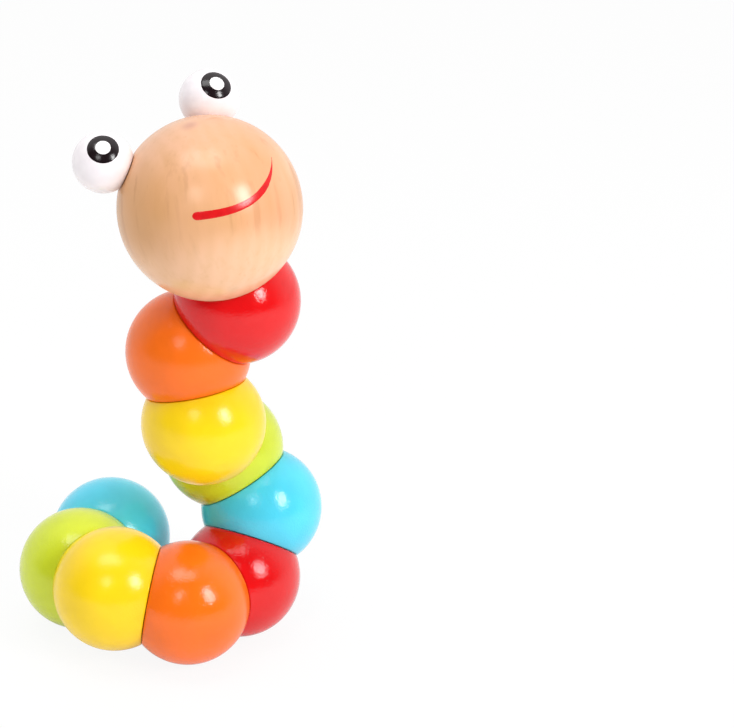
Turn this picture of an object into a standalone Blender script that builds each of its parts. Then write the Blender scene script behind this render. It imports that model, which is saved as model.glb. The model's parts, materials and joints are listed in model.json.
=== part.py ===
"""Wooden twist worm: sawn balls on one elastic cord, each turning on the flat face of the next.

The worm stands on the floor at z = 0 with its base coiled and its head up, facing -Y. Units are metres.
"""

from math import cos, pi, radians, sin, sqrt, tan

import bmesh
import bpy
from mathutils import Matrix, Vector

# Balls
BALL_RADIUS = 0.015
HEAD_RADIUS = 0.0213
EYE_RADIUS = 0.007
SAW_OFFSET = 0.009  # from a ball's centre to the plane where it meets its neighbour
BALL_BEND = radians(54)  # how far the two sawn faces of a ball turn the chain
RIM_EASE = 0.0004  # sanded edge of a sawn face
SEAM_GAP = 0.0003  # between two pieces that touch
STANDING_FLAT = 0.0015  # radius of the spot that a standing ball rests on

# Head
NECK_TILT = radians(41)  # the neck leaves the head this far back from straight down
EYE_SPREAD = radians(35.5)  # each eye sits this far out from the top of the head
EYE_SEAT_RADIUS = 0.0042  # round flat between an eye and the head
PEG_RADIUS = 0.002
PEG_DEPTH = 0.0047  # of an eye peg, in the head and in the eye alike
NECK_POCKET_DEPTH = 0.012
NECK_BUSH_LENGTH = 0.005

# Cord and what holds its ends
CORD_RADIUS = 0.0012
CORD_BEND_RADIUS = 0.004
CORD_BEND_STEPS = 6
BORE_RADIUS = 0.002
BORE_OVERRUN = 0.001  # each hole is drilled this far past the ball's centre
POCKET_RADIUS = 0.004
POCKET_FLOOR = 0.004  # from the tail ball's centre to the bottom of its pocket
KNOT_RADIUS = 0.0032
KNOT_LENGTH = 0.0045

# Balls from the neck to the tail: colour, number, and the twist in degrees on the piece before
BALLS = (
    ("red", 1, 121.5),
    ("orange", 1, -151),
    ("yellow", 1, -97),
    ("green", 1, 154),
    ("blue", 1, 70),
    ("red", 2, -26),
    ("orange", 2, 69),
    ("yellow", 2, 24),
    ("green", 2, -24),
    ("blue", 2, 225),
)
TAIL = "blue_2"
STANDING = ("red_2", "orange_2", "green_2", "blue_2")
BASE_LINE = ("orange_2", "yellow_2")  # these two centres give the base its heading
BASE_HEADING = radians(176.6)

# Facets
BALL_SEGMENTS = 28
HEAD_SEGMENTS = 32
EYE_SEGMENTS = 20
RIM_SEGMENTS = 32
DRILL_SEGMENTS = 16
KNOT_SEGMENTS = 14
SHARP_ANGLE = radians(25)  # a steeper edge than this is shaded sharp

# Linear colour and roughness of each finish
FINISHES = {
    "red": ((0.72, 0.015, 0.025), 0.2),
    "orange": ((0.92, 0.16, 0.015), 0.2),
    "yellow": ((0.95, 0.7, 0.02), 0.2),
    "green": ((0.55, 0.72, 0.045), 0.2),
    "blue": ((0.06, 0.6, 0.76), 0.2),
    "white": ((0.9, 0.88, 0.88), 0.2),
    "lacquered_wood": ((0.86, 0.58, 0.33), 0.3),
    "bare_wood": ((0.6, 0.38, 0.2), 0.6),
    "elastic": ((0.8, 0.78, 0.74), 0.8),
}

# Worked out from the sizes above
SAWN_RADIUS = sqrt(BALL_RADIUS**2 - SAW_OFFSET**2)
NECK_OFFSET = sqrt(HEAD_RADIUS**2 - SAWN_RADIUS**2)
HEAD_SEAT = sqrt(HEAD_RADIUS**2 - EYE_SEAT_RADIUS**2)
EYE_SEAT = sqrt(EYE_RADIUS**2 - EYE_SEAT_RADIUS**2)
STANDING_HEIGHT = sqrt(BALL_RADIUS**2 - STANDING_FLAT**2)
HALF_GAP = SEAM_GAP / 2

# In a piece's own frame the chain comes in down the Z axis and bends towards +X. The head faces +X.
CHAIN_IN = Vector((0, 0, 1))
CHAIN_OUT = Vector((sin(BALL_BEND), 0, -cos(BALL_BEND)))
NECK = Vector((0, 0, -1))
HEAD_TOP = Vector((-sin(NECK_TILT), 0, cos(NECK_TILT)))
HEAD_SIDE = Vector((0, 1, 0))


def eye_direction(side):
    """From the head's centre to an eye: side is 1 for the worm's left and -1 for its right."""
    return HEAD_TOP * cos(EYE_SPREAD) + HEAD_SIDE * sin(EYE_SPREAD) * side


EYES = {"left": eye_direction(1), "right": eye_direction(-1)}


def chain_frames():
    """The frame of each piece, from the head's own, by the twists and the bends between them."""
    frame = Matrix.Identity(4)
    frames = {"head": frame}
    bend = Matrix.Identity(4)
    step = NECK_OFFSET + SAW_OFFSET
    for colour, number, twist in BALLS:
        turn = Matrix.Rotation(-radians(twist), 4, "Z")
        frame = frame @ bend @ turn @ Matrix.Translation((0, 0, -step))
        frames[f"{colour}_{number}"] = frame
        bend = Matrix.Rotation(-BALL_BEND, 4, "Y")
        step = 2 * SAW_OFFSET
    return frames


def levelling(frames):
    """The turn that sets the standing balls level, with the base at its heading."""
    first, second, third = (frames[name].translation for name in STANDING[:3])
    up = (second - first).cross(third - first).normalized()
    if up.dot(frames["head"].translation - first) < 0:
        up.negate()
    start, end = (frames[name].translation for name in BASE_LINE)
    along = end - start
    along = (along - up * along.dot(up)).normalized()
    level = Matrix((along, up.cross(along), up)).to_4x4()
    return Matrix.Rotation(BASE_HEADING, 4, "Z") @ level


def standing_frames():
    """The frames with the worm stood on the floor and the middle of its outline over the origin."""
    frames = chain_frames()
    turn = levelling(frames)
    frames = {name: turn @ frame for name, frame in frames.items()}
    balls = [(frame.translation, BALL_RADIUS) for name, frame in frames.items() if name != "head"]
    balls.append((frames["head"].translation, HEAD_RADIUS))
    for direction in EYES.values():
        balls.append((frames["head"] @ (direction * (HEAD_SEAT + EYE_SEAT)), EYE_RADIUS))
    middle = [
        (min(spot[i] - r for spot, r in balls) + max(spot[i] + r for spot, r in balls)) / 2 for i in (0, 1)
    ]
    floor = frames[STANDING[0]].translation.z - STANDING_HEIGHT
    place = Matrix.Translation((-middle[0], -middle[1], -floor))
    return {name: place @ frame for name, frame in frames.items()}


def new_collection(name):
    collection = bpy.data.collections.new(name)
    bpy.context.scene.collection.children.link(collection)
    return collection


def new_material(name, colour, roughness):
    material = bpy.data.materials.new(name)
    material.use_nodes = True
    shader = material.node_tree.nodes["Principled BSDF"]
    shader.inputs["Base Color"].default_value = (*colour, 1)
    shader.inputs["Roughness"].default_value = roughness
    shader.inputs["Metallic"].default_value = 0
    return material


def place(name, data, frame, finish):
    """Puts a finished shape into the worm."""
    piece = bpy.data.objects.new(name, data)
    piece.matrix_world = frame
    data.materials.append(materials[finish])
    parts.objects.link(piece)
    return piece


def mesh_of(shape, name):
    mesh = bpy.data.meshes.new(name)
    shape.to_mesh(mesh)
    shape.free()
    mesh.shade_smooth()
    mesh.set_sharp_from_angle(angle=SHARP_ANGLE)
    return mesh


def facing(direction):
    """The turn that points Z along a direction."""
    return CHAIN_IN.rotation_difference(direction).to_matrix().to_4x4()


def sawn_ball(name, radius, segments, cuts):
    """A ball with flats sawn off it. Each cut is the way a flat faces, its distance and its edge's easing."""
    ball = bmesh.new()
    bmesh.ops.create_uvsphere(ball, u_segments=segments, v_segments=segments // 2, radius=radius)
    rim_room = pi * radius / segments
    for direction, offset, ease in cuts:
        beyond = [v for v in ball.verts if v.co.dot(direction) > offset - ease - rim_room]
        bmesh.ops.delete(ball, geom=beyond, context="VERTS")
    for direction, offset, ease in cuts:
        rings = [(offset, sqrt(radius**2 - offset**2) - ease)]
        if ease:
            rings.append((offset - ease, sqrt(radius**2 - (offset - ease) ** 2)))
        for height, ring_radius in rings:
            where = facing(direction) @ Matrix.Translation((0, 0, height))
            bmesh.ops.create_circle(ball, segments=RIM_SEGMENTS, radius=ring_radius, matrix=where)
    bmesh.ops.delete(ball, geom=ball.edges[:], context="EDGES_FACES")
    bmesh.ops.convex_hull(ball, input=ball.verts[:])
    bmesh.ops.recalc_face_normals(ball, faces=ball.faces[:])
    return mesh_of(ball, name)


def rod(name, radius, low, high, direction=CHAIN_IN):
    """A round rod along a direction, between two distances from the frame's centre."""
    shape = bmesh.new()
    where = facing(direction) @ Matrix.Translation((0, 0, (low + high) / 2))
    bmesh.ops.create_cone(
        shape,
        cap_ends=True,
        segments=DRILL_SEGMENTS,
        radius1=radius,
        radius2=radius,
        depth=high - low,
        matrix=where,
    )
    return mesh_of(shape, name)


def drill(piece, frame, radius, low, high, direction):
    """Bores a hole in a piece with a hidden cutter."""
    name = f"{piece.name}_drill_{len(piece.modifiers) + 1}"
    cutter = bpy.data.objects.new(name, rod(name, radius, low, high, direction))
    cutter.matrix_world = frame
    cutter.hide_render = True
    cutter.display_type = "WIRE"
    cutters.objects.link(cutter)
    hole = piece.modifiers.new(name, "BOOLEAN")
    hole.operation = "DIFFERENCE"
    hole.object = cutter


def knot(name, frame, direction, low):
    """The knotted end of the cord, a lump that can't pass its hole."""
    lump = bmesh.new()
    rings = KNOT_SEGMENTS // 2
    bmesh.ops.create_uvsphere(lump, u_segments=KNOT_SEGMENTS, v_segments=rings, radius=KNOT_RADIUS)
    squash = Matrix.Diagonal((1, 1, KNOT_LENGTH / 2 / KNOT_RADIUS, 1))
    where = facing(direction) @ Matrix.Translation((0, 0, low + KNOT_LENGTH / 2))
    bmesh.ops.transform(lump, matrix=where @ squash, verts=lump.verts[:])
    place(name, mesh_of(lump, name), frame, "elastic")


def cord(name, frame, points):
    """A stretch of the cord through the given points."""
    curve = bpy.data.curves.new(name, "CURVE")
    curve.dimensions = "3D"
    curve.bevel_depth = CORD_RADIUS
    curve.bevel_resolution = 2
    curve.use_fill_caps = True
    line = curve.splines.new("POLY")
    line.points.add(len(points) - 1)
    for spot, point in zip(line.points, points):
        spot.co = (*point, 1)
    place(name, curve, frame, "elastic")


def cord_through_ball(far_end):
    """The cord's line in a ball: in along Z, round a bend at the centre and out to the far end's distance."""
    points = [CHAIN_IN * (SAW_OFFSET - HALF_GAP)]
    tangent = CORD_BEND_RADIUS * tan(BALL_BEND / 2)
    for step in range(CORD_BEND_STEPS + 1):
        angle = BALL_BEND * step / CORD_BEND_STEPS
        x = CORD_BEND_RADIUS * (1 - cos(angle))
        z = tangent - CORD_BEND_RADIUS * sin(angle)
        points.append(Vector((x, 0, z)))
    points.append(CHAIN_OUT * far_end)
    return points


def build_head(frame):
    cuts = [(NECK, NECK_OFFSET - HALF_GAP, RIM_EASE)]
    cuts += [(direction, HEAD_SEAT - HALF_GAP, 0) for direction in EYES.values()]
    mesh = sawn_ball("head_ball", HEAD_RADIUS, HEAD_SEGMENTS, cuts)
    head = place("head_ball", mesh, frame, "lacquered_wood")
    neck_face = NECK_OFFSET - HALF_GAP
    drill(head, frame, POCKET_RADIUS, NECK_OFFSET - NECK_POCKET_DEPTH, HEAD_RADIUS, NECK)
    bush_top = neck_face - NECK_BUSH_LENGTH
    bush_mesh = rod("neck_bush", POCKET_RADIUS - SEAM_GAP, bush_top, neck_face, NECK)
    bush = place("neck_bush", bush_mesh, frame, "bare_wood")
    drill(bush, frame, BORE_RADIUS, 0, HEAD_RADIUS, NECK)
    knot_low = bush_top - SEAM_GAP - KNOT_LENGTH
    knot("head_knot", frame, NECK, knot_low)
    cord_end = knot_low + KNOT_LENGTH + SEAM_GAP
    cord("cord_in_head", frame, [NECK * neck_face, NECK * cord_end])
    for side, direction in EYES.items():
        drill(head, frame, PEG_RADIUS + SEAM_GAP, HEAD_SEAT - PEG_DEPTH - SEAM_GAP, HEAD_RADIUS, direction)
        build_eye(frame, side, direction)


def build_eye(head_frame, side, direction):
    """An eye ball on its seat, and the peg that holds it."""
    out = HEAD_SEAT + EYE_SEAT
    frame = head_frame @ Matrix.Translation(direction * out)
    mesh = sawn_ball(f"eye_{side}", EYE_RADIUS, EYE_SEGMENTS, [(-direction, EYE_SEAT - HALF_GAP, 0)])
    eye = place(f"eye_{side}", mesh, frame, "white")
    drill(eye, frame, PEG_RADIUS + SEAM_GAP, EYE_SEAT - PEG_DEPTH - SEAM_GAP, EYE_RADIUS, -direction)
    name = f"eye_peg_{side}"
    peg = rod(name, PEG_RADIUS, HEAD_SEAT - PEG_DEPTH, HEAD_SEAT + PEG_DEPTH, direction)
    place(name, peg, head_frame, "bare_wood")


def build_ball(name, colour, frame):
    """One ball of the body, with its stretch of cord. The tail ball has a plug in place of a second face."""
    face = SAW_OFFSET - HALF_GAP
    cuts = [(CHAIN_IN, face, RIM_EASE)]
    if name != TAIL:
        cuts.append((CHAIN_OUT, face, RIM_EASE))
    if name in STANDING:
        down = frame.to_3x3().inverted() @ Vector((0, 0, -1))
        cuts.append((down, STANDING_HEIGHT, 0))
    ball_name = f"{colour}_ball_{name[-1]}"
    ball = place(ball_name, sawn_ball(ball_name, BALL_RADIUS, BALL_SEGMENTS, cuts), frame, colour)
    for direction in (CHAIN_IN, CHAIN_OUT):
        drill(ball, frame, BORE_RADIUS, -BORE_OVERRUN, BALL_RADIUS, direction)
    if name == TAIL:
        build_tail_end(ball, frame)
    far_end = POCKET_FLOOR if name == TAIL else face
    cord(f"cord_in_{name}", frame, cord_through_ball(far_end))


def build_tail_end(ball, frame):
    """The pocket in the tail ball, with the cord's knot in it and a plug that closes it flush."""
    drill(ball, frame, POCKET_RADIUS, POCKET_FLOOR, BALL_RADIUS + SEAM_GAP, CHAIN_OUT)
    knot("tail_knot", frame, CHAIN_OUT, POCKET_FLOOR + SEAM_GAP)
    plug_inner = POCKET_FLOOR + SEAM_GAP + KNOT_LENGTH + SEAM_GAP
    plug_outer = sqrt(BALL_RADIUS**2 - POCKET_RADIUS**2)
    plug = rod("tail_plug", POCKET_RADIUS - SEAM_GAP, plug_inner, plug_outer, CHAIN_OUT)
    place("tail_plug", plug, frame, "bare_wood")


for old in list(bpy.data.objects):
    bpy.data.objects.remove(old)
parts = new_collection("twist_worm")
cutters = new_collection("cutters")
materials = {name: new_material(name, *finish) for name, finish in FINISHES.items()}
frames = standing_frames()
build_head(frames["head"])
for ball_colour, ball_number, _ in BALLS:
    ball_key = f"{ball_colour}_{ball_number}"
    build_ball(ball_key, ball_colour, frames[ball_key])
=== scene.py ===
import json
import math

import bmesh
import bpy
from mathutils import Matrix, Vector

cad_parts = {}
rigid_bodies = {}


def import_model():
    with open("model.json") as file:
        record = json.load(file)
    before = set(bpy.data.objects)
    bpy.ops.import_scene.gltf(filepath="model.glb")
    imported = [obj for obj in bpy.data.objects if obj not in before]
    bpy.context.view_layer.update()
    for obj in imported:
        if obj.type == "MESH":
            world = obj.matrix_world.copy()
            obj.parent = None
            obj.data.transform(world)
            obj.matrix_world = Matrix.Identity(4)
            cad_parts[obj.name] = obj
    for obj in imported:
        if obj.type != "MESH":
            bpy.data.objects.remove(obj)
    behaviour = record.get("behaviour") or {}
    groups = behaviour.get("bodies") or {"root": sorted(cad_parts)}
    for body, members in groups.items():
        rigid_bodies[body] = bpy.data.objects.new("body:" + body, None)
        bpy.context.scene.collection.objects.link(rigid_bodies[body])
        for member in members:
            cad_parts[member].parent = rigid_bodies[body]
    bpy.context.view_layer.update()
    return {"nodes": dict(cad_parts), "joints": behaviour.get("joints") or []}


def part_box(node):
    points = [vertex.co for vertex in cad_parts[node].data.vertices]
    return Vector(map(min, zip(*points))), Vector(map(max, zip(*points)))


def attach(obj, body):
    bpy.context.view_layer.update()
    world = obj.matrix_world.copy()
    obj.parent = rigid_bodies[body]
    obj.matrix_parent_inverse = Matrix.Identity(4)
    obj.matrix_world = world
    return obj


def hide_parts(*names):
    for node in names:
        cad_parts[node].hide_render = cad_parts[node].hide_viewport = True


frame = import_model()
bpy.context.scene.view_settings.view_transform = "Standard"

# the worm from head to tail, and the seam (point, axis towards the tail) on each ball's head side
wormOrder = [
    "head", "red_1", "orange_1", "yellow_1", "green_1", "blue_1",
    "red_2", "orange_2", "yellow_2", "green_2", "blue_2",
]
seams = {}
for joint in frame["joints"]:
    lower = max(joint["parent"], joint["child"], key=wormOrder.index)
    seams[lower] = (Vector(joint["pos_m"]), Vector(joint["axis"]).normalized())

# lengths are in metres
ballShape = {
    "radius": 0.015,
    "sawn": 0.009,  # centre to seam
    "gap": 0.0002,  # between two sawn faces
    "edge": 0.00045,  # rounding of the sanded rim
    "edgeSteps": 5,
    "fineness": 6,  # subdivisions of the round
    "leastSides": 24,  # of a small flat's rim
    "sharpAngle": 35,  # degrees, past which an edge is shaded sharp
    "bore": 0.002,
    "boreOverrun": 0.001,  # past the ball's centre
    "pocket": 0.004,
    "pocketFloor": 0.004,
    "pocketOverrun": 0.0003,  # past the ball's surface
    "drillSides": 32,
    "weld": 1e-6,  # edges shorter than this, where two holes meet, are closed up
}


def middleOf(node):
    low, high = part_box(node)
    return (low + high) / 2


def aimZ(toward):
    return toward.to_track_quat("Z", "Y").to_matrix().to_4x4()


def rimRings(radius, reach, edge):
    # (ring radius, height) from the flat round the sanded edge onto the ball
    if not edge:
        return [(math.sqrt(radius**2 - reach**2), reach)]
    steps = ballShape["edgeSteps"]
    inner = radius - edge
    middle = math.sqrt(inner**2 - (reach - edge) ** 2)
    last = math.atan2(reach - edge, middle)
    rings = []
    for step in range(steps + 1):
        angle = math.pi / 2 + (last - math.pi / 2) * step / steps
        rings.append((middle + edge * math.cos(angle), reach - edge + edge * math.sin(angle)))
    return rings


def sawnBall(centre, radius, flats, fineness):
    # flats are (outward direction, distance from centre, edge rounding)
    bm = bmesh.new()
    bmesh.ops.create_icosphere(bm, subdivisions=fineness, radius=radius)
    spacing = next(iter(bm.edges)).calc_length()
    ringSets = [(toward, rimRings(radius, reach, edge)) for toward, reach, edge in flats]
    for toward, rings in ringSets:
        limit = rings[-1][1] - spacing / 2
        beyond = [v for v in bm.verts if v.co.dot(toward) > limit]
        bmesh.ops.delete(bm, geom=beyond, context="VERTS")
    for toward, rings in ringSets:
        count = max(ballShape["leastSides"], round(2 * math.pi * rings[-1][0] / spacing))
        for ringRadius, height in rings:
            place = aimZ(toward) @ Matrix.Translation((0, 0, height))
            bmesh.ops.create_circle(bm, segments=count, radius=ringRadius, matrix=place)
    bmesh.ops.delete(bm, geom=bm.edges[:], context="EDGES_FACES")
    bmesh.ops.convex_hull(bm, input=bm.verts[:])
    bmesh.ops.translate(bm, vec=centre, verts=bm.verts[:])
    bmesh.ops.recalc_face_normals(bm, faces=bm.faces[:])
    return bm


def toObject(name, bm, sharpAngle=ballShape["sharpAngle"]):
    mesh = bpy.data.meshes.new(name)
    bm.to_mesh(mesh)
    bm.free()
    mesh.shade_smooth()
    mesh.set_sharp_from_angle(angle=math.radians(sharpAngle))
    piece = bpy.data.objects.new(name, mesh)
    bpy.context.scene.collection.objects.link(piece)
    return piece


def drillHoles(piece, holes):
    # holes are (centre, direction, radius, from, to)
    cutters = []
    for centre, toward, radius, low, high in holes:
        bm = bmesh.new()
        place = Matrix.Translation(centre) @ aimZ(toward) @ Matrix.Translation((0, 0, (low + high) / 2))
        bmesh.ops.create_cone(
            bm, cap_ends=True, segments=ballShape["drillSides"], radius1=radius, radius2=radius,
            depth=high - low, matrix=place,
        )
        cutter = toObject(piece.name + "_drill", bm)
        cutters.append(cutter)
        hole = piece.modifiers.new("hole", "BOOLEAN")
        hole.operation = "DIFFERENCE"
        hole.object = cutter
    depsgraph = bpy.context.evaluated_depsgraph_get()
    drilled = bpy.data.meshes.new_from_object(piece.evaluated_get(depsgraph))
    drilled.name = piece.name
    bm = bmesh.new()
    bm.from_mesh(drilled)
    bmesh.ops.dissolve_degenerate(bm, dist=ballShape["weld"], edges=bm.edges[:])
    bm.to_mesh(drilled)
    bm.free()
    piece.modifiers.clear()
    piece.data = drilled
    drilled.set_sharp_from_angle(angle=math.radians(ballShape["sharpAngle"]))
    for cutter in cutters:
        bpy.data.objects.remove(cutter)


def finishPiece(piece, body, material, slot, *nodes):
    piece.data.materials.clear()
    piece.data.materials.append(material)
    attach(piece, body)
    if nodes:
        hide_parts(*nodes)


def mathNode(tree, operation, first, second):
    # two numbers or sockets put together
    node = tree.nodes.new("ShaderNodeMath")
    node.operation = operation
    for source, socket in zip((first, second), node.inputs):
        if isinstance(source, float):
            socket.default_value = source
        else:
            tree.links.new(source, socket)
    return node.outputs[0]


class NodeDesk:
    # a material's node tree with short ways to add and join nodes
    def __init__(self, name):
        self.material = bpy.data.materials.new(name)
        self.material.use_nodes = True
        self.nodes = self.material.node_tree.nodes
        self.links = self.material.node_tree.links
        self.shader = self.nodes["Principled BSDF"]
        self.place = self.nodes.new("ShaderNodeTexCoord").outputs["Object"]

    def join(self, source, socket):
        self.links.new(source, socket)

    def feed(self, name, source):
        # a finished pattern into one of the shader's own sockets
        self.join(source, self.shader.inputs[name])

    def turned(self, grain, centre, stretch):
        # coordinates about a centre with Z along the grain, then stretched
        turn = Vector(grain).rotation_difference(Vector((0, 0, 1)))
        mapping = self.nodes.new("ShaderNodeMapping")
        mapping.inputs["Location"].default_value = -(turn @ Vector(centre))
        mapping.inputs["Rotation"].default_value = turn.to_euler()
        self.join(self.place, mapping.inputs["Vector"])
        scale = self.nodes.new("ShaderNodeVectorMath")
        scale.operation = "MULTIPLY"
        scale.inputs[1].default_value = stretch
        self.join(mapping.outputs["Vector"], scale.inputs[0])
        return scale.outputs["Vector"]

    def length(self, vector):
        measure = self.nodes.new("ShaderNodeVectorMath")
        measure.operation = "LENGTH"
        self.join(vector, measure.inputs[0])
        return measure.outputs["Value"]

    def noise(self, scale, detail=2.0, roughness=0.5, vector=None):
        noise = self.nodes.new("ShaderNodeTexNoise")
        noise.inputs["Scale"].default_value = scale
        noise.inputs["Detail"].default_value = detail
        noise.inputs["Roughness"].default_value = roughness
        self.join(vector or self.place, noise.inputs["Vector"])
        return noise.outputs["Fac"]

    def streaks(self, look, grain, centre):
        # noise drawn out along the grain
        drawn = self.turned(grain, centre, (1, 1, look["along"]))
        return self.noise(look["scale"], look["detail"], look["coarse"], drawn)

    def rings(self, look, grain, heart):
        # growth rings about the heart of the tree
        wave = self.nodes.new("ShaderNodeTexWave")
        wave.wave_type = "RINGS"
        wave.rings_direction = "Z"
        wave.inputs["Scale"].default_value = look["scale"]
        wave.inputs["Distortion"].default_value = look["waver"]
        wave.inputs["Detail"].default_value = look["detail"]
        wave.inputs["Detail Scale"].default_value = look["waverScale"]
        self.join(self.turned(grain, heart, (1, 1, look["along"])), wave.inputs["Vector"])
        return wave.outputs["Fac"]

    def ramp(self, source, low, high):
        # a value spread from low..high to 0..1
        spread = self.nodes.new("ShaderNodeMapRange")
        spread.interpolation_type = "SMOOTHSTEP"
        spread.inputs["From Min"].default_value = low
        spread.inputs["From Max"].default_value = high
        self.join(source, spread.inputs["Value"])
        return spread.outputs["Result"]

    def between(self, source, low, high):
        # a 0..1 value as a number from low to high
        spread = self.nodes.new("ShaderNodeMapRange")
        spread.inputs["To Min"].default_value = low
        spread.inputs["To Max"].default_value = high
        self.join(source, spread.inputs["Value"])
        return spread.outputs["Result"]

    def mixed(self, share, first, second):
        # two colours or patterns, with this share of the second
        mix = self.nodes.new("ShaderNodeMix")
        mix.data_type = "RGBA"
        self.join(share, mix.inputs["Factor"])
        for value, socket in zip((first, second), mix.inputs[6:8]):  # the sockets for colours
            if isinstance(value, tuple):
                socket.default_value = (*value, 1)
            else:
                self.join(value, socket)
        return mix.outputs[2]

    def bumped(self, height, depth, after=None):
        bump = self.nodes.new("ShaderNodeBump")
        bump.inputs["Strength"].default_value = 1
        bump.inputs["Distance"].default_value = depth
        self.join(height, bump.inputs["Height"])
        if after:
            self.join(after, bump.inputs["Normal"])
        return bump.outputs["Normal"]


def linear(*screenColour):
    # an 8-bit screen colour as the shader's linear one, by the sRGB curve
    levels = [level / 255 for level in screenColour]
    return tuple(v / 12.92 if v <= 0.04045 else ((v + 0.055) / 1.055) ** 2.4 for v in levels)


paint = {
    "colours": {
        "red": (221, 15, 19),
        "orange": (248, 112, 20),
        "yellow": (252, 213, 18),
        "green": (206, 221, 46),
        "blue": (81, 211, 241),
    },
    "cloud": (0.95, 1.05),  # how much darker and lighter thick and thin paint gets
    "cloudScale": 90,  # all scales are per metre
    "cloudDetail": 3,
    "peelScale": 2200,  # orange peel
    "roughScale": 400,
    "roughDetail": 2,
    "grain": {"scale": 900, "detail": 2, "coarse": 0.6, "along": 0.06},  # fibres that show through
    "grainDepth": 0.00001,
    # shine is the specular level
    "finishes": {
        "speckled": {"peelDepth": 0.000065, "rough": (0.09, 0.14), "shine": 0.5},
        "even": {"peelDepth": 0.00004, "rough": (0.11, 0.16), "shine": 0.45},
        "satin": {"peelDepth": 0.00004, "rough": (0.18, 0.23), "shine": 0.42},
    },
    "finishOf": {"red_1": "even", "orange_1": "satin", "yellow_1": "satin", "yellow_2": "satin"},
    "usual": "speckled",
}
# for every paint and lacquer
cloudEdges = (0.3, 0.7)  # the part of a noise that makes a cloud
peelDetail = 1  # of the noise that makes orange peel


def shade(colour, factor):
    return tuple(min(1.0, v * factor) for v in colour)


def paintFilm(desk, tones, look, under=None):
    # a cloudy colour, orange peel and an uneven gloss
    cloud = desk.ramp(desk.noise(look["cloudScale"], look["cloudDetail"]), *cloudEdges)
    desk.feed("Base Color", desk.mixed(cloud, *tones))
    peel = desk.noise(look["peelScale"], peelDetail)
    desk.feed("Normal", desk.bumped(peel, look["peelDepth"], under))
    gloss = desk.noise(look["roughScale"], look["roughDetail"])
    desk.feed("Roughness", desk.between(gloss, *look["rough"]))


def paintMaterial(ball, colour, grain, centre):
    desk = NodeDesk(f"{ball}_gloss_paint")
    tones = [shade(linear(*colour), factor) for factor in paint["cloud"]]
    finish = paint["finishes"][paint["finishOf"].get(ball, paint["usual"])]
    fibres = desk.streaks(paint["grain"], grain, centre)
    paintFilm(desk, tones, {**paint, **finish}, desk.bumped(fibres, paint["grainDepth"]))
    desk.shader.inputs["Specular IOR Level"].default_value = finish["shine"]
    return desk.material


wood = {
    "tones": {
        "pale": (240, 194, 156),
        "warm": (230, 172, 127),
        "hot": (234, 166, 124),
        "blush": (234, 182, 147),
        "deep": (210, 157, 103),
        "fleck": (186, 129, 83),
        "knot": (204, 146, 126),
    },
    "grain": (-0.16, 0.24, 0.96),  # direction of the fibres
    "pith": (0.085, 0.03, 0.0),  # from the head's centre to the heart of the tree
    # broad changes: a tone that comes in from one distance to another, and the most of it
    "foot": 0.03,  # heights along the grain start this far below the head's centre
    "floorReflectionEdges": (0.0185, 0.028),  # the heights between which the paler lower part, a painted reflection of the white floor, gives way to warm wood
    "endGrain": (0.042, 0.048),  # and those between which blotches and veins fade
    "wander": 0.002,  # how far heights stray
    "wanderScale": 70,
    "paintedBandBelow": 0.002,  # a painted darker band of reflection round the head, where the painted floor reflection ends, this far below its centre
    "paintedHorizonBand": {"tone": "deep", "from": 0.0065, "to": 0, "share": 0.32},
    "crown": {"tone": "blush", "from": 0.037, "to": 0.048, "share": 0.8},
    "far": {"tone": "deep", "from": 0.095, "to": 0.116, "share": 0.85},  # from the pith: darker on the side away from it, partly the wood's tone and partly painted shade
    # the same darker tone and painted shade on the lower part, weaker
    "farBelow": {"tone": "deep", "from": 0.095, "to": 0.116, "share": 0.3},
    "near": {"tone": "hot", "from": 0.095, "to": 0.082, "share": 1},
    # painted sheen: paler along the rim nearest the pith, where the lacquer shows a reflection
    "paintedRimSheen": {"tone": "pale", "from": 0.08, "to": 0.073, "share": 0.5},
    # streaks: a noise drawn out along the grain, the part of it that shows, and the most of its tone
    "blotches": {"scale": 160, "detail": 2, "coarse": 0.5, "along": 0.3},
    "blotchTone": {"tone": "deep", "from": 0.5, "to": 0.75, "share": 0.55},
    "veins": {"scale": 260, "detail": 3, "coarse": 0.6, "along": 0.05},
    "veinTone": {"tone": "fleck", "from": 0.54, "to": 0.66, "share": 0.36},
    "blushes": {"scale": 95, "detail": 2, "coarse": 0.5, "along": 0.4},
    "blushTone": {"tone": "blush", "from": 0.3, "to": 0.75, "share": 0.35},
    "fibres": {"scale": 600, "detail": 3, "coarse": 0.6, "along": 0.04},
    "fibreTone": {"tone": "deep", "from": 0.45, "to": 0.75, "share": 0.18},
    "flecks": {"scale": 900, "detail": 1, "coarse": 0.5, "along": 0.2},
    "fleckTone": {"tone": "fleck", "from": 0.68, "to": 0.78, "share": 0.13},
    "rings": {"scale": 85, "waver": 5, "detail": 2, "waverScale": 0.5, "along": 0.12},
    "ringShare": 0.12,
    "knotSpot": (0.61, 0.08, 0.79),  # on the head, by its front, left and top
    "knotLong": 0.5,  # squeeze along the grain that draws the knot out
    "knot": {"tone": "knot", "from": 0.003, "to": 0, "share": 0.7},
    # the lacquer
    "fibreDepth": 0.00001,
    "peelScale": 1200,
    "peelDepth": 0.000008,
    "roughScale": 300,
    "rough": (0.21, 0.29),
    "shine": 0.44,  # specular level
}


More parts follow.
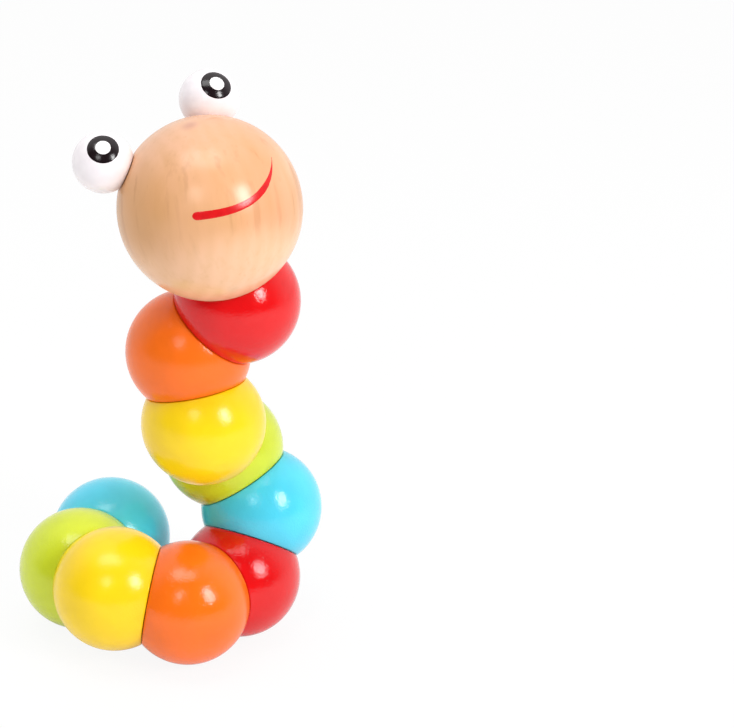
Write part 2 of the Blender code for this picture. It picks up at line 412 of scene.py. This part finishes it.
def woodMaterial(name, centre, headAxes):
    desk = NodeDesk(name)
    tones = {tone: linear(*colour) for tone, colour in wood["tones"].items()}
    grain = wood["grain"]
    along = Vector(grain).normalized()
    heart = centre + Vector(wood["pith"])

    def toned(under, measure, look):
        share = desk.between(desk.ramp(measure, look["from"], look["to"]), 0, look["share"])
        return desk.mixed(share, under, tones[look["tone"]])

    def alongFrom(below):
        return desk.length(desk.turned(grain, centre - along * below, (0, 0, 1)))

    wander = desk.between(desk.noise(wood["wanderScale"]), -wood["wander"], wood["wander"])
    height = mathNode(desk.material.node_tree, "ADD", alongFrom(wood["foot"]), wander)
    distance = desk.length(desk.turned(grain, heart, (1, 1, 0)))
    # warm wood above, and below it paler wood that is a painted reflection of the white floor
    # painted reflection: a darker band round the head just above the paler lower part
    above = toned(tones["warm"], alongFrom(wood["paintedBandBelow"]), wood["paintedHorizonBand"])
    # darker towards the side away from the pith: partly the wood's tone, partly painted shade
    above = toned(above, distance, wood["far"])
    above = toned(above, height, wood["crown"])
    above = toned(above, distance, wood["near"])
    # painted sheen: paler along the rim nearest the pith
    above = toned(above, distance, wood["paintedRimSheen"])
    veined = toned(above, desk.streaks(wood["blotches"], grain, heart), wood["blotchTone"])
    veined = toned(veined, desk.streaks(wood["veins"], grain, heart), wood["veinTone"])
    above = desk.mixed(desk.ramp(height, *wood["endGrain"]), veined, above)
    # the same darker tone and painted shade, weaker, on the paler lower part
    below = toned(tones["pale"], distance, wood["farBelow"])
    # painted reflection: the paler wood below these heights stands in for the white floor seen in the
    # lacquer
    tone = desk.mixed(desk.ramp(height, *wood["floorReflectionEdges"]), below, above)
    # what runs all over
    tone = toned(tone, desk.streaks(wood["blushes"], grain, heart), wood["blushTone"])
    rings = desk.between(desk.rings(wood["rings"], grain, heart), 0, wood["ringShare"])
    tone = desk.mixed(rings, tone, tones["deep"])
    fibres = desk.streaks(wood["fibres"], grain, heart)
    tone = toned(tone, fibres, wood["fibreTone"])
    tone = toned(tone, desk.streaks(wood["flecks"], grain, heart), wood["fleckTone"])
    spot = sum((axis * share for axis, share in zip(headAxes, wood["knotSpot"])), Vector())
    knotCentre = centre + spot.normalized() * headShape["radius"]
    fromKnot = desk.length(desk.turned(grain, knotCentre, (1, 1, wood["knotLong"])))
    desk.feed("Base Color", toned(tone, fromKnot, wood["knot"]))
    peel = desk.noise(wood["peelScale"], peelDetail)
    desk.feed("Normal", desk.bumped(peel, wood["peelDepth"], desk.bumped(fibres, wood["fibreDepth"])))
    desk.feed("Roughness", desk.between(desk.noise(wood["roughScale"]), *wood["rough"]))
    desk.shader.inputs["Specular IOR Level"].default_value = wood["shine"]
    return desk.material


eyeWhite = {
    "tones": ((244, 237, 241), (250, 244, 247)),
    "cloudScale": 250,
    "cloudDetail": 2,
    "peelScale": 1500,
    "peelDepth": 0.000008,
    "rough": (0.18, 0.26),
    "roughScale": 400,
    "roughDetail": 2,
}


def whiteMaterial(name):
    desk = NodeDesk(name)
    paintFilm(desk, [linear(*tone) for tone in eyeWhite["tones"]], eyeWhite)
    return desk.material


# the painted pupil, dot and smile
ink = {
    "cloud": (0.94, 1.05),
    "cloudScale": 800,
    "cloudDetail": 2,
    "peelScale": 2500,
    "roughScale": 900,
    "roughDetail": 1,
}


def inkMaterial(name, colour, finish):
    desk = NodeDesk(name)
    paintFilm(desk, [shade(linear(*colour), factor) for factor in ink["cloud"]], {**ink, **finish})
    return desk.material


# plain dowel wood: rings show on its ends and fibres along its side
bareWood = {
    "pale": (214, 172, 122),
    "deep": (150, 104, 62),
    "heart": 0.004,  # off the dowel's middle
    "rings": {"scale": 400, "waver": 2, "detail": 2, "waverScale": 1, "along": 0.1},
    "ringShare": 0.6,
    "fibres": {"scale": 1800, "detail": 3, "coarse": 0.6, "along": 0.05},
    "fibreEdges": (0.45, 0.8),
    "fibreShare": 0.7,
    "fibreDepth": 0.00004,
    "rough": (0.55, 0.8),
}


def bareWoodMaterial(name, along, centre):
    desk = NodeDesk(name)
    pale, deep = linear(*bareWood["pale"]), linear(*bareWood["deep"])
    heart = centre + along.orthogonal() * bareWood["heart"]
    rings = desk.rings(bareWood["rings"], along, heart)
    fibres = desk.streaks(bareWood["fibres"], along, heart)
    tone = desk.mixed(desk.between(rings, 0, bareWood["ringShare"]), pale, deep)
    fibreShare = desk.between(desk.ramp(fibres, *bareWood["fibreEdges"]), 0, bareWood["fibreShare"])
    desk.feed("Base Color", desk.mixed(fibreShare, tone, deep))
    desk.feed("Normal", desk.bumped(fibres, bareWood["fibreDepth"]))
    desk.feed("Roughness", desk.between(fibres, *bareWood["rough"]))
    return desk.material


elastic = {
    "thread": (240, 236, 228),
    "between": (176, 170, 158),  # painted shade in the creases between the threads
    "weaveScale": 2200,
    "weaveDepth": 0.0001,
    "rough": (0.7, 0.95),
}


def elasticMaterial(name):
    desk = NodeDesk(name)
    weave = desk.nodes.new("ShaderNodeTexVoronoi")
    weave.inputs["Scale"].default_value = elastic["weaveScale"]
    desk.join(desk.place, weave.inputs["Vector"])
    distance = weave.outputs["Distance"]
    thread, between = linear(*elastic["thread"]), linear(*elastic["between"])
    # painted shade: darker towards the creases between the threads
    desk.feed("Base Color", desk.mixed(distance, thread, between))
    desk.feed("Normal", desk.bumped(distance, elastic["weaveDepth"]))
    desk.feed("Roughness", desk.between(distance, *elastic["rough"]))
    return desk.material


def buildBody():
    # the ten balls, and the direction of the plug in the last one
    face = ballShape["sawn"] - ballShape["gap"] / 2
    for place, body in enumerate(wormOrder[1:], 1):
        point, axis = seams[body]
        centre = point + axis * ballShape["sawn"]
        colour, number = body.split("_")
        flats = [(-axis, face, ballShape["edge"])]
        isTail = body == wormOrder[-1]
        if isTail:
            outward = (middleOf("tail_plug") - centre).normalized()
        else:
            outward = seams[wormOrder[place + 1]][1]
            flats.append((outward, face, ballShape["edge"]))
        if centre.z < ballShape["radius"]:
            flats.append((Vector((0, 0, -1)), centre.z, 0.0))  # the spot that it stands on
        bm = sawnBall(centre, ballShape["radius"], flats, ballShape["fineness"])
        ball = toObject(f"{colour}_{number}_painted_ball", bm)
        depths = (-ballShape["boreOverrun"], ballShape["radius"])
        holes = [(centre, toward, ballShape["bore"], *depths) for toward in (-axis, outward)]
        if isTail:
            depths = (ballShape["pocketFloor"], ballShape["radius"] + ballShape["pocketOverrun"])
            holes.append((centre, outward, ballShape["pocket"], *depths))
        drillHoles(ball, holes)
        grain = axis.cross(outward).normalized()
        material = paintMaterial(body, paint["colours"][colour], grain, centre)
        finishPiece(ball, body, material, f"{colour}_paint", f"{colour}_ball_{number}")
    print("body balls painted:", len(wormOrder) - 1)
    return outward


headShape = {
    "radius": 0.0213,
    "seat": 0.0042,  # radius of the flat under an eye
    "seatEdge": 0.00035,
    "pocketDepth": 0.012,
    "pegHole": 0.0023,
    "pegDepth": 0.005,
}


def buildHead():
    point, axis = seams["red_1"]
    sawnRadius = math.sqrt(ballShape["radius"] ** 2 - ballShape["sawn"] ** 2)
    neckReach = math.sqrt(headShape["radius"] ** 2 - sawnRadius**2)
    seatReach = math.sqrt(headShape["radius"] ** 2 - headShape["seat"] ** 2)
    half = ballShape["gap"] / 2
    centre = point - axis * neckReach
    toward = {name: (middleOf(f"eye_peg_{name}") - centre).normalized() for name in ("left", "right")}
    flats = [(axis, neckReach - half, ballShape["edge"])]
    flats += [(eye, seatReach - half, headShape["seatEdge"]) for eye in toward.values()]
    bm = sawnBall(centre, headShape["radius"], flats, ballShape["fineness"])
    head = toObject("lacquered_head", bm)
    depths = (neckReach - headShape["pocketDepth"], headShape["radius"])
    holes = [(centre, axis, ballShape["pocket"], *depths)]
    depths = (seatReach - headShape["pegDepth"], headShape["radius"])
    holes += [(centre, eye, headShape["pegHole"], *depths) for eye in toward.values()]
    drillHoles(head, holes)
    top = (toward["left"] + toward["right"]).normalized()
    side = (toward["left"] - toward["right"]).normalized()
    headAxes = (side.cross(top), side, top)
    lacquered = woodMaterial("head_lacquered_wood", centre, headAxes)
    finishPiece(head, "head", lacquered, "lacquered_wood", "head_ball")
    buildSmile(centre, *headAxes)
    for name, eye in toward.items():
        buildEye(name, centre, eye, seatReach, headAxes)
    print("head and eyes made")


eyeShape = {"radius": 0.007, "fineness": 5}
pupilShape = {
    "look": {"left": (9.7, 6.3), "right": (16.0, 5.8)},  # degrees up, and outwards, from straight ahead
    "pupilRadius": 0.00358,
    "dotRadius": 0.00172,
    "pupilInk": (27, 16, 20),
    "dotInk": (250, 248, 248),
    "finish": {"rough": (0.14, 0.2), "peelDepth": 0.00002},
    "film": 0.00005,
    "edgePower": 8,  # higher keeps the film thick nearer to its edge
    "rounds": 72,
    "arcSteps": 14,
    "weld": 1e-6,
}


def paintedCap(name, centre, radius, toward, capRadius):
    # a thin round film of paint on a ball, turned from its section
    film, steps = pupilShape["film"], pupilShape["arcSteps"]
    limit = math.asin(capRadius / radius)
    section = []
    for step in range(steps + 1):
        share = step / steps
        lift = film * math.sqrt(max(0.0, 1 - share ** pupilShape["edgePower"]))
        section.append((limit * share, radius + lift))
    section += [(limit * (1 - step / steps), radius - film) for step in range(steps + 1)]
    bm = bmesh.new()
    across = toward.orthogonal().normalized()
    corners = []
    for angle, reach in section:
        direction = toward * math.cos(angle) + across * math.sin(angle)
        corners.append(bm.verts.new(centre + direction * reach))
    edges = [bm.edges.new(pair) for pair in zip(corners, corners[1:])]
    bmesh.ops.spin(
        bm, geom=corners + edges, cent=centre, axis=toward, angle=2 * math.pi,
        steps=pupilShape["rounds"], use_merge=True, use_duplicate=False,
    )
    bmesh.ops.remove_doubles(bm, verts=bm.verts[:], dist=pupilShape["weld"])
    bmesh.ops.recalc_face_normals(bm, faces=bm.faces[:])
    return toObject(name, bm)


def buildEye(name, headCentre, toward, seatReach, headAxes):
    front, side, top = headAxes
    radius = eyeShape["radius"]
    eyeSeat = math.sqrt(radius**2 - headShape["seat"] ** 2)
    centre = headCentre + toward * (seatReach + eyeSeat)
    flats = [(-toward, eyeSeat - ballShape["gap"] / 2, headShape["seatEdge"])]
    eye = toObject(f"{name}_eye_ball", sawnBall(centre, radius, flats, eyeShape["fineness"]))
    drillHoles(eye, [(centre, -toward, headShape["pegHole"], eyeSeat - headShape["pegDepth"], radius)])
    finishPiece(eye, "head", whiteMaterial(f"{name}_eye_white"), "white_paint", f"eye_{name}")
    up, out = (math.radians(v) for v in pupilShape["look"][name])
    outward = side if name == "left" else -side
    level = front * math.cos(out) + outward * math.sin(out)
    look = level * math.cos(up) + top * math.sin(up)
    pupil = paintedCap(f"{name}_pupil", centre, radius, look, pupilShape["pupilRadius"])
    black = inkMaterial(f"{name}_pupil_black", pupilShape["pupilInk"], pupilShape["finish"])
    finishPiece(pupil, "head", black, "white_paint")
    onPupil = radius + pupilShape["film"]
    dot = paintedCap(f"{name}_pupil_dot", centre, onPupil, look, pupilShape["dotRadius"])
    white = inkMaterial(f"{name}_dot_white", pupilShape["dotInk"], pupilShape["finish"])
    finishPiece(dot, "head", white, "white_paint")


smileShape = {
    "from": -35.3,  # degrees round the face, to the worm's left
    "to": 32.8,
    "low": -15.3,  # degrees below straight ahead at the middle
    "lean": 0.021,
    "curl": 0.0125,  # rise with the square of the degrees sideways
    "hook": 0.00007,  # and with their cube
    "width": 0.0021,
    "thinning": 0.3,  # share of the width lost from the blunt end to the tip
    "taperFrom": 12.0,
    "taperPower": 1.3,
    "tip": 0.00012,
    "ink": (212, 14, 20),
    "finish": {"rough": (0.2, 0.28), "peelDepth": 0.000005},
    "film": 0.00006,
    "crownPower": 4,  # higher keeps the film thick nearer to its edges
    "sunk": 0.3,  # share of the film that its edges lie under the head's surface
    "crowding": 0.12,  # sets the steps closer together at the two ends
    "lookAhead": 0.1,  # degrees
    "lengthSteps": 120,
    "widthSteps": 8,
    "sharpAngle": 60,
}


def buildSmile(centre, front, side, top):
    shape = smileShape
    start, end = shape["from"], shape["to"]
    radius = headShape["radius"]

    def onHead(yaw):
        # the direction of the stroke's middle line
        rise = shape["lean"] * yaw + shape["curl"] * yaw**2 + shape["hook"] * yaw**3
        pitch = math.radians(shape["low"] + rise)
        turn = math.radians(yaw)
        level = front * math.cos(turn) + side * math.sin(turn)
        return level * math.cos(pitch) + top * math.sin(pitch)

    def widthAt(yaw):
        # round at the blunt end, thinning out to the tip
        fromBlunt = math.radians(yaw - start) * radius / (shape["width"] / 2)
        blunt = math.sqrt(max(0.0, 1 - max(0.0, 1 - fromBlunt) ** 2))
        taper = max(0.0, (yaw - shape["taperFrom"]) / (end - shape["taperFrom"]))
        body = shape["width"] * (1 - shape["thinning"] * (yaw - start) / (end - start))
        return max(shape["tip"], body * blunt * (1 - taper ** shape["taperPower"]))

    bm = bmesh.new()
    bmesh.ops.create_grid(bm, x_segments=shape["lengthSteps"], y_segments=shape["widthSteps"], size=1)
    for v in bm.verts:
        along, across = (v.co.x + 1) / 2, v.co.y
        along -= shape["crowding"] * math.sin(2 * math.pi * along)
        yaw = start + (end - start) * along
        here = onHead(yaw)
        ahead = onHead(yaw + shape["lookAhead"]) - here
        outward = here.cross(ahead).normalized()
        spot = (here + outward * across * widthAt(yaw) / 2 / radius).normalized()
        lift = shape["film"] * (1 - across ** shape["crownPower"] - shape["sunk"])
        v.co = centre + spot * (radius + lift)
    bmesh.ops.recalc_face_normals(bm, faces=bm.faces[:])
    bmesh.ops.solidify(bm, geom=bm.faces[:], thickness=shape["film"] * 2)
    bmesh.ops.recalc_face_normals(bm, faces=bm.faces[:])
    smile = toObject("painted_smile", bm, shape["sharpAngle"])
    red = inkMaterial("smile_red", shape["ink"], shape["finish"])
    finishPiece(smile, "head", red, "lacquered_wood")


def dressInside(plugAlong):
    # plain pieces kept from the frame: dowels, bush, plug and cord
    braid = elasticMaterial("braided_elastic")
    upward = Vector((0, 0, 1))
    dowels = {
        "eye_peg_left": upward,
        "eye_peg_right": upward,
        "neck_bush": seams["red_1"][1],
        "tail_plug": plugAlong,
    }
    for name, node in frame["nodes"].items():
        if name in dowels:
            material = bareWoodMaterial(f"{name}_wood", dowels[name], middleOf(name))
        elif name.startswith("cord_in") or name.endswith("knot"):
            material = braid
        else:
            continue
        node.data.materials.clear()
        node.data.materials.append(material)
    print("dowels and cord dressed")


studio = {
    "floorSize": 6.0,
    "floorWhite": 0.9,
    "floorGlow": 0.91,  # share of plain white that the camera sees in the floor
    "mirrorGlow": 0.36,  # and that gloss sees, where the rest keeps the shadow under the worm
    "front": 0.05,  # brightness of the room on the camera's side, as gloss shows it
    "fill": 0.38,  # the least that matt surfaces get from any side
    "back": 1.0,
    "frontEnds": -0.45,  # where the room brightens, as the Y of a direction
    "backStarts": 0.35,
    # degrees round from the front and up from level, a turn of the panel, and metres
    "lights": {
        "key": {"az": 52, "el": 30, "turn": 0, "away": 0.9, "wide": 0.22, "high": 0.34, "watts": 4.3},
        "left": {"az": -15, "el": 38, "turn": 0, "away": 0.9, "wide": 0.22, "high": 0.24, "watts": 0.8},
        "top": {"az": -40, "el": 80, "turn": 40, "away": 0.9, "wide": 0.62, "high": 0.36, "watts": 2.8},
    },
    "aim": (0, 0, 0.07),  # the point that the lights face
}


def floorMaterial():
    material = bpy.data.materials.new("white_floor")
    material.use_nodes = True
    nodes, links = material.node_tree.nodes, material.node_tree.links
    output = nodes["Material Output"]
    nodes.remove(nodes["Principled BSDF"])
    matt = nodes.new("ShaderNodeBsdfDiffuse")
    matt.inputs["Color"].default_value = (studio["floorWhite"],) * 3 + (1,)
    glow = nodes.new("ShaderNodeEmission")
    ray = nodes.new("ShaderNodeLightPath").outputs
    watched = mathNode(material.node_tree, "MULTIPLY", ray["Is Camera Ray"], studio["floorGlow"])
    mirrored = mathNode(material.node_tree, "MAXIMUM", ray["Is Glossy Ray"], ray["Is Transmission Ray"])
    mirrored = mathNode(material.node_tree, "MULTIPLY", mirrored, studio["mirrorGlow"])
    seen = mathNode(material.node_tree, "MAXIMUM", watched, mirrored)
    mix = nodes.new("ShaderNodeMixShader")
    links.new(seen, mix.inputs[0])
    links.new(matt.outputs[0], mix.inputs[1])
    links.new(glow.outputs[0], mix.inputs[2])
    links.new(mix.outputs[0], output.inputs["Surface"])
    return material


def roomWorld():
    # plain white to the camera, and dim in front and bright behind to the rest
    world = bpy.data.worlds.new("white_room")
    world.use_nodes = True
    nodes, links = world.node_tree.nodes, world.node_tree.links
    sky = nodes["Background"]
    sky.inputs["Color"].default_value = (1, 1, 1, 1)
    direction = nodes.new("ShaderNodeTexCoord").outputs["Generated"]
    apart = nodes.new("ShaderNodeSeparateXYZ")
    links.new(direction, apart.inputs[0])
    depth = nodes.new("ShaderNodeMapRange")
    depth.interpolation_type = "SMOOTHSTEP"
    depth.inputs["From Min"].default_value = studio["frontEnds"]
    depth.inputs["From Max"].default_value = studio["backStarts"]
    depth.inputs["To Min"].default_value = studio["front"]
    depth.inputs["To Max"].default_value = studio["back"]
    links.new(apart.outputs["Y"], depth.inputs["Value"])
    ray = nodes.new("ShaderNodeLightPath").outputs
    fill = mathNode(world.node_tree, "MULTIPLY", ray["Is Diffuse Ray"], studio["fill"])
    level = mathNode(world.node_tree, "MAXIMUM", depth.outputs[0], fill)
    level = mathNode(world.node_tree, "MAXIMUM", level, ray["Is Camera Ray"])
    links.new(level, sky.inputs["Strength"])
    return world


def buildStudio():
    bm = bmesh.new()
    bmesh.ops.create_grid(bm, x_segments=1, y_segments=1, size=studio["floorSize"] / 2)
    floor = toObject("floor", bm)
    floor.data.materials.append(floorMaterial())
    aim = Vector(studio["aim"])
    for name, lamp in studio["lights"].items():
        az, el = math.radians(lamp["az"]), math.radians(lamp["el"])
        toward = Vector((math.sin(az) * math.cos(el), -math.cos(az) * math.cos(el), math.sin(el)))
        light = bpy.data.lights.new(name, "AREA")
        light.shape = "RECTANGLE"
        light.size = lamp["wide"]
        light.size_y = lamp["high"]
        light.energy = lamp["watts"]
        holder = bpy.data.objects.new(name + "_softbox", light)
        holder.location = aim + toward * lamp["away"]
        spin = Matrix.Rotation(math.radians(lamp["turn"]), 4, "Z")
        holder.rotation_euler = (aimZ(toward) @ spin).to_euler()
        bpy.context.scene.collection.objects.link(holder)
    bpy.context.scene.world = roomWorld()
    print("studio lit")


camera = {
    "place": (0.0475, -0.4999, 0.2943),
    "lens": 112.55,
    "sensor": 36,
    "clip": 0.01,
    "down": 23.97,  # degrees below level
    "roll": 1.55,
}


def buildCamera():
    data = bpy.data.cameras.new("camera")
    data.lens = camera["lens"]
    data.sensor_width = camera["sensor"]
    data.clip_start = camera["clip"]
    holder = bpy.data.objects.new("camera", data)
    holder.location = camera["place"]
    holder.rotation_mode = "ZYX"  # roll first, then tilt
    holder.rotation_euler = (math.radians(90 - camera["down"]), 0, math.radians(camera["roll"]))
    bpy.context.scene.collection.objects.link(holder)
    bpy.context.scene.camera = holder
    print("camera set")


plugAlong = buildBody()
buildHead()
dressInside(plugAlong)
buildStudio()
buildCamera()
